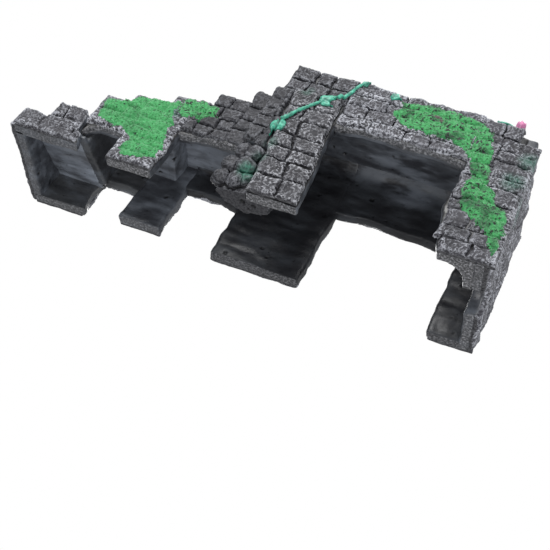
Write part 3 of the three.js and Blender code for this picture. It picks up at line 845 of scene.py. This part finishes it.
flock = {
    "step": 0.42, "pad": 2.0, "thick": 0.85, "taper": 2.0,
    "fray": 1.7, "frayFine": 0.9, "seam": 1.1, "sink": 1.2,
    "grains": 0.3, "grainShare": 0.10,
}
# the stones a patch lies on, the patch beside it, and its bald spots: shares of its box and a radius
mossPlaces = {
    "moss_pier_a": {"on": ["stones_step_1", "stones_pier_a"], "beside": "moss_step", "bare": []},
    "moss_step": {
        "on": ["stones_pier_a", "stones_step_2"], "beside": "moss_pier_a", "bare": [],
        "finish": "mossWorn",
    },
    "moss_lintel": {
        "on": ["stones_lintel_3", "stones_pier_c"], "beside": "moss_pier_c",
        "bare": [(0.50, 0.70, 1.9), (0.56, 0.63, 1.3)], "finish": "mossWorn",
    },
    "moss_pier_c": {
        "on": ["stones_lintel_3", "stones_pier_c"], "beside": "moss_lintel", "bare": [],
        "finish": "mossWorn",
    },
}


def blurred(field, known, passes):
    # soften a grid of heights without letting the unknown cells leak in
    total = np.where(known, field, 0.0)
    weight = known.astype(float)
    for _ in range(passes):
        for axis in (0, 1):
            total = total + np.roll(total, 1, axis) + np.roll(total, -1, axis)
            weight = weight + np.roll(weight, 1, axis) + np.roll(weight, -1, axis)
        peak = weight.max()
        total /= peak
        weight /= peak
    return np.where(weight > 1e-6, total / np.maximum(weight, 1e-6), field)


def insetOf(mask, xs, zs, gx, gz):
    # distance to the edge of a mask, positive inside and negative outside
    core = np.roll(mask, 1, 0) & np.roll(mask, -1, 0) & np.roll(mask, 1, 1) & np.roll(mask, -1, 1)
    edge = np.nonzero(mask & ~core)
    if len(edge[0]) == 0:
        return np.full(gx.shape, -99.0)
    rim = np.stack([xs[edge[0]], zs[edge[1]]], 1)
    spread = np.array([
        math.sqrt(min((rim[:, 0] - x) ** 2 + (rim[:, 1] - z) ** 2)) for x, z in zip(gx.ravel(), gz.ravel())
    ]).reshape(gx.shape)
    return np.where(mask, spread, -spread)


def growMoss(node, look):
    low, high = (np.array(c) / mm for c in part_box(node))
    pad = flock["pad"]
    step = flock["step"]
    xs = np.arange(low[0] - pad, high[0] + pad, step)
    zs = np.arange(low[2] - pad, high[2] + pad, step)
    patch = treeOf([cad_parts[node]])
    other = treeOf([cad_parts[look["beside"]]])
    wallTree = treeOf([stonePieces[name] for name in look["on"]])
    ahead = Vector((0, 1, 0))
    inside = np.zeros((len(xs), len(zs)), bool)
    nearby = np.zeros((len(xs), len(zs)), bool)
    depth = np.zeros((len(xs), len(zs)))
    solid = np.zeros((len(xs), len(zs)), bool)
    for i, x in enumerate(xs):
        for j, z in enumerate(zs):
            inside[i, j] = patch.ray_cast(Vector((x, low[1] - 5, z)), ahead)[0] is not None
            nearby[i, j] = other.ray_cast(Vector((x, low[1] - 5, z)), ahead)[0] is not None
            hit = wallTree.ray_cast(Vector((x, low[1] - 5, z)), ahead)[0]
            if hit is not None and hit.y < high[1] + 5.5:
                solid[i, j] = True
                depth[i, j] = hit.y
    # how far each cell lies inside the outline, counting the patch next door as well
    gx, gz = np.meshgrid(xs, zs, indexing="ij")
    mine = insetOf(inside, xs, zs, gx, gz)
    theirs = insetOf(nearby, xs, zs, gx, gz)
    reach = np.maximum(mine, theirs)
    seam = (np.abs(mine) < flock["seam"]) & (np.abs(theirs) < flock["seam"])
    reach = np.where(seam, flock["taper"], reach)
    outside = mine < np.minimum(theirs, 0) - 0.3
    smooth = blurred(depth, solid, 7)
    proud = smooth - depth
    verts = []
    thin = []
    index = -np.ones(gx.shape, int)
    wide = np.array(look["bare"]).reshape(-1, 3)
    for i, x in enumerate(xs):
        for j, z in enumerate(zs):
            if not solid[i, j] or outside[i, j]:
                continue
            ragged = noise.noise(Vector((x / 5, 3.1, z / 5))) * flock["fray"]
            ragged += noise.noise(Vector((x / 1.6, 8.4, z / 1.6))) * flock["frayFine"]
            cover = reach[i, j] + ragged - 0.5 * smoothStep(proud[i, j], 0.2, 1.0)
            if cover <= -0.45:
                continue
            body = smoothStep(cover, -0.3, flock["taper"])
            lump = noise.noise(Vector((x / 2.2, 0.0, z / 2.2))) * 0.45
            lump += noise.noise(Vector((x / 0.8, 5.0, z / 0.8))) * 0.5
            rise = flock["thick"] * body * (0.75 + lump)
            if cover <= 0:
                rise = -0.7
            lay = 0.3 * depth[i, j] + 0.7 * min(depth[i, j] + 0.3, smooth[i, j])
            lay = min(lay, depth[i, j] + 0.2)
            index[i, j] = len(verts)
            verts.append((x, lay - rise, z))
            u = (x - low[0]) / (high[0] - low[0])
            v = (z - low[2]) / (high[2] - low[2])
            worn = 0.75 * smoothStep(proud[i, j], 0.35, 1.1) + 0.5 * (1 - body)
            for bu, bv, size in wide:
                off = math.hypot((u - bu) * (high[0] - low[0]), (v - bv) * (high[2] - low[2]))
                worn = max(worn, 1.3 * (1 - smoothStep(off, 0.5 * size, 1.5 * size)))
            thin.append(worn)
    faces = []
    for i in range(len(xs) - 1):
        for j in range(len(zs) - 1):
            quad = (index[i, j], index[i + 1, j], index[i + 1, j + 1], index[i, j + 1])
            if min(quad) >= 0:
                faces.append(quad)
    # close the sheet with a back that lies inside the stones
    sides = {}
    for quad in faces:
        for a, b in zip(quad, quad[1:] + quad[:1]):
            sides[(a, b)] = sides.get((a, b), 0) + 1
    count = len(verts)
    verts += [(x, y + flock["sink"], z) for x, y, z in verts]
    thin += thin
    closed = list(faces)
    closed += [tuple(k + count for k in reversed(quad)) for quad in faces]
    closed += [(b, a, a + count, b + count) for a, b in sides if (b, a) not in sides]
    # loose grains of flock on top
    rng = random.Random(len(node))
    ball = bmesh.new()
    bmesh.ops.create_icosphere(ball, subdivisions=1, radius=1)
    shell = [tuple(v.co) for v in ball.verts]
    skin = [tuple(v.index for v in f.verts) for f in ball.faces]
    ball.free()
    for k in range(count):
        if rng.random() > flock["grainShare"] or thin[k] > 0.7:
            continue
        size = flock["grains"] * rng.uniform(0.6, 1.3)
        middle = np.array(verts[k]) + (rng.uniform(-0.2, 0.2), -0.3 * size, rng.uniform(-0.2, 0.2))
        start = len(verts)
        verts += [tuple(middle + np.array(p) * size * rng.uniform(0.75, 1.25)) for p in shell]
        thin += [0.0] * len(shell)
        closed += [tuple(start + q for q in f) for f in skin]
    mesh = bpy.data.meshes.new(node + "_flock")
    mesh.from_pydata([(x * mm, y * mm, z * mm) for x, y, z in verts], [], closed)
    mesh.update()
    obj = bpy.data.objects.new(node + "_flock", mesh)
    sceneCollection.objects.link(obj)
    paint(obj, "thin", np.array(thin))
    settle(obj, node, look.get("finish", "moss"))
    return obj


for node, look in mossPlaces.items():
    growMoss(node, look)
report("moss")


# vine and leaves

vineLook = {
    "stem": 1.25, "tip": 0.85, "lift": 0.75, "beyond": 1.6,
    "rings": 80, "around": 12, "span": 6, "easing": 16,
}


def pressedTo(tree, x, z, fallback, front=-60.0):
    hit = tree.ray_cast(Vector((x, front, z)), Vector((0, 1, 0)))[0]
    return hit.y if hit is not None else fallback


def middleLine(node, parts, beyond):
    # the run of a cast stem, read off its own mesh in slices along Z and carried on past both ends
    co = verticesOf(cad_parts[node])
    low, high = co[:, 2].min(), co[:, 2].max()
    points = []
    for k in range(parts):
        z = low + (high - low) * (k + 0.5) / parts
        near = np.abs(co[:, 2] - z) < (high - low) / parts
        points.append(co[near].mean(axis=0))
    first = (points[0] - points[1]) / (points[1][2] - points[0][2])
    last = (points[-1] - points[-2]) / (points[-1][2] - points[-2][2])
    points.insert(0, points[0] + first * (points[0][2] - low + beyond))
    points.append(points[-1] + last * (high + beyond - points[-1][2]))
    return points


def meshFrom(name, verts, faces):
    mesh = bpy.data.meshes.new(name)
    mesh.from_pydata([(x * mm, y * mm, z * mm) for x, y, z in verts], [], faces)
    mesh.update()
    obj = bpy.data.objects.new(name, mesh)
    sceneCollection.objects.link(obj)
    return obj


def curveThrough(points, count):
    p = [Vector(q) for q in points]
    p = [2 * p[0] - p[1]] + p + [2 * p[-1] - p[-2]]
    line = []
    for k in range(count):
        t = k / (count - 1) * (len(p) - 3)
        i = min(int(t), len(p) - 4)
        u = t - i
        a, b, c, d = p[i], p[i + 1], p[i + 2], p[i + 3]
        line.append(0.5 * (2 * b + (c - a) * u + (2 * a - 5 * b + 4 * c - d) * u * u
                           + (3 * b - a - 3 * c + d) * u ** 3))
    return line


def growStem(node, tree):
    line = curveThrough(middleLine(node, 6, vineLook["beyond"]), vineLook["rings"])
    # the stem bridges the hollows: it rests on the nearest high stone within a short span
    spots = [(0, 0), (0.9, 0), (-0.9, 0), (0, 0.9), (0, -0.9)]
    depths = [min(pressedTo(tree, p.x + u, p.z + w, p.y) for u, w in spots) for p in line]
    span = vineLook["span"]
    held = [min(depths[max(k - span, 0):k + span + 1]) for k in range(len(line))]
    for _ in range(vineLook["easing"]):
        held = [(held[max(k - 1, 0)] + held[k] + held[min(k + 1, len(line) - 1)]) / 3
                for k in range(len(line))]
    depths = [min(h, d) for h, d in zip(held, depths)]
    verts = []
    faces = []
    around = vineLook["around"]
    for k, p in enumerate(line):
        middle = Vector((p.x, depths[k] - vineLook["lift"], p.z))
        along = line[min(k + 1, len(line) - 1)] - line[max(k - 1, 0)]
        along = Vector((along.x, 0, along.z)).normalized()
        across = along.cross(Vector((0, 1, 0)))
        t = k / (len(line) - 1)
        size = vineLook["stem"] * (1 - t) + vineLook["tip"] * t
        size *= 1 + 0.22 * noise.noise(middle / 2.5) + 0.12 * math.sin(k * 0.9)
        if k in (0, len(line) - 1):
            size *= 0.35
        for s in range(around):
            a = 2 * math.pi * s / around
            rise = Vector((0, 1, 0)) * math.sin(a) * size * 0.9
            verts.append(middle + across * math.cos(a) * size + rise)
    rings = len(line)
    for k in range(rings - 1):
        for s in range(around):
            n = (s + 1) % around
            faces.append((k * around + s, k * around + n, (k + 1) * around + n, (k + 1) * around + s))
    faces.append(tuple(reversed(range(around))))
    faces.append(tuple((rings - 1) * around + s for s in range(around)))
    return verts, faces


def thickened(front, back, rows, cols):
    # one closed blade out of two matching grids of points
    count = len(front)
    faces = []
    for r in range(rows):
        for c in range(cols - 1):
            a = r * cols + c
            faces.append((a, a + cols, a + cols + 1, a + 1))
            faces.append((a + count, a + 1 + count, a + cols + 1 + count, a + cols + count))
    ring = list(range(cols))
    ring += [r * cols + cols - 1 for r in range(1, rows + 1)]
    ring += [rows * cols + c for c in range(cols - 2, -1, -1)]
    ring += [r * cols for r in range(rows - 1, 0, -1)]
    for a, b in zip(ring, ring[1:] + ring[:1]):
        faces.append((a, b, b + count, a + count))
    return front + back, faces


leafLook = {"rib": 0.35, "ribWidth": 0.16, "vein": 0.10, "curl": 0.9, "arch": 0.35, "lift": 0.35}


def growLeaf(base, tip, width, tree, fallback, thick=0.8):
    # a pointed blade with a sunken midrib, lying on the stones under it
    base = Vector(base)
    tip = Vector(tip)
    along = tip - base
    length = along.length
    along.normalize()
    across = along.cross(Vector((0, 1, 0)))
    rows, half = 18, 7
    front = []
    floor = []
    for r in range(rows + 1):
        t = r / rows
        wide = width * (math.sin(math.pi * min(t * 1.08 + 0.10, 1.0)) ** 0.75 * (1 - t ** 3) + 0.03)
        wide *= 1 + 0.07 * math.sin(t * 22)
        for c in range(-half, half + 1):
            s = c / half
            p = base + along * (t * length) + across * (s * wide)
            floor.append(pressedTo(tree, p.x, p.z, fallback))
            rib = leafLook["rib"] * math.exp(-(s / leafLook["ribWidth"]) ** 2)
            vein = leafLook["vein"] * math.sin((t * 7 - abs(s) * 1.8) * math.pi) * (1 - abs(s))
            curl = leafLook["curl"] * (1 - s * s) + leafLook["arch"] * math.sin(t * math.pi)
            front.append((p, curl - rib + vein))
    settled = sum(floor) / len(floor)
    verts = []
    for (p, rise), y in zip(front, floor):
        lay = 0.5 * y + 0.5 * settled
        verts.append(Vector((p.x, min(lay, y) - leafLook["lift"] - rise, p.z)))
    return thickened(verts, [v + Vector((0, thick, 0)) for v in verts], rows, 2 * half + 1)


def gathered(name, parts):
    verts = []
    faces = []
    for v, f in parts:
        start = len(verts)
        verts += [tuple(p) for p in v]
        faces += [tuple(start + k for k in face) for face in f]
    obj = meshFrom(name, verts, faces)
    form = bmesh.new()
    form.from_mesh(obj.data)
    bmesh.ops.recalc_face_normals(form, faces=form.faces)
    form.to_mesh(obj.data)
    form.free()
    return obj


def finishPlant(obj, node, finish):
    co = verticesOf(obj)
    # how far each point stands proud; the paint turns the hollows dark as painted shade
    proud = np.einsum("ij,ij->i", co - relaxed(co, edgesOf(obj), 6), normalsOf(obj))
    paint(obj, "wearAndCreaseShade", 0.5 + proud * 3)
    settle(obj, node, finish)


climbTree = treeOf([stonePieces[n] for n in (
    "stones_pier_b", "stones_tower_front", "stones_tower_top", "stones_lintel_3",
)])
for node in ("vine_low", "vine_high"):
    finishPlant(gathered(node + "_sprig", [growStem(node, climbTree)]), node, "vine")


def leafFrame(node):
    low, high = (np.array(c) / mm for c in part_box(node))
    return low, high, (low + high) / 2


# base and tip as shares of each leaf's own box, then the blade's half width in millimetres
leaves = {
    "leaf_large": [((0.55, 1.0), (0.35, 0.0), 4.6)],
    "leaf_pair": [((0.1, 0.35), (0.95, 0.95), 3.4), ((0.1, 0.3), (0.9, 0.1), 2.8)],
    "leaf_small": [((0.1, 0.2), (0.95, 0.85), 2.4)],
    "leaf_top": [((0.1, 0.6), (0.95, 0.35), 3.2)],
}
for node, blades in leaves.items():
    low, high, middle = leafFrame(node)
    wide = high - low
    made = []
    for (bu, bv), (tu, tv), width in blades:
        base = (low[0] + bu * wide[0], 0, low[2] + bv * wide[2])
        tip = (low[0] + tu * wide[0], 0, low[2] + tv * wide[2])
        made.append(growLeaf(base, tip, width, climbTree, float(high[1])))
    finishPlant(gathered(node + "_blade", made), node, "vine")
report("vine")


# flower bud

flower = {"length": 6.4, "width": 2.5, "petals": 6, "inner": 4, "thick": 0.45}


def petal(middle, turn, lean, length, width):
    # a cupped petal that stands up from the middle
    rows, half = 9, 4
    verts = []
    for r in range(rows + 1):
        t = r / rows
        wide = width * (math.sin(math.pi * min(0.12 + 0.8 * t, 1)) ** 0.7)
        out = lean * math.sin(t * 1.7) * length * 0.55
        for c in range(-half, half + 1):
            s = c / half
            x = s * wide
            y = out + 0.9 * width * (1 - s * s) * (1 - 0.5 * t)
            z = t * length
            verts.append(Vector((x * math.cos(turn) - y * math.sin(turn),
                                 x * math.sin(turn) + y * math.cos(turn), z)) + middle)
    heart = middle + Vector((0, 0, length * 0.4))
    inner = [v + (heart - v).normalized() * flower["thick"] for v in verts]
    return thickened(verts, inner, rows, 2 * half + 1)


low, high, middle = leafFrame("bud_flower")
root = Vector((middle[0], middle[1] - 0.4, low[2] + 0.2))
parts = [petal(root, 2 * math.pi * k / flower["petals"], 0.42, flower["length"], flower["width"])
         for k in range(flower["petals"])]
parts += [petal(root, 2 * math.pi * (k + 0.5) / flower["inner"], 0.12, flower["length"] * 1.08,
                flower["width"] * 0.7)
          for k in range(flower["inner"])]
finishPlant(gathered("bud_flower_petals", parts), "bud_flower", "petal")


def freeLeaf(base, tip, width, droop, thick=0.6):
    # a drooping blade that stands clear of the stones
    base = Vector(base)
    tip = Vector(tip)
    along = tip - base
    across = along.cross(Vector((0, 0, 1))).normalized()
    rows, half = 10, 4
    verts = []
    for r in range(rows + 1):
        t = r / rows
        wide = width * (math.sin(math.pi * min(0.1 + t * 0.98, 1)) ** 0.8 + 0.04)
        for c in range(-half, half + 1):
            s = c / half
            p = base + along * t + across * (s * wide)
            p.z += 0.5 * abs(s) * width * 0.6 - droop * t * t - 0.2 * math.exp(-(s / 0.2) ** 2)
            verts.append(p)
    return thickened(verts, [v - Vector((0, 0, thick)) for v in verts], rows, 2 * half + 1)


low, high, middle = leafFrame("bud_leaves")
heel = (root.x, root.y, low[2] + 1.0)
parts = [
    freeLeaf(heel, (low[0] + 0.6, middle[1] - 1.6, high[2] - 1.4), 2.2, 0.8),
    freeLeaf(heel, (low[0] + 3.0, middle[1] + 2.4, high[2] - 1.2), 1.8, 0.6),
]
finishPlant(gathered("bud_leaves_blades", parts), "bud_leaves", "vine")
report("bud")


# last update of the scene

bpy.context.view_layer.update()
report("done")
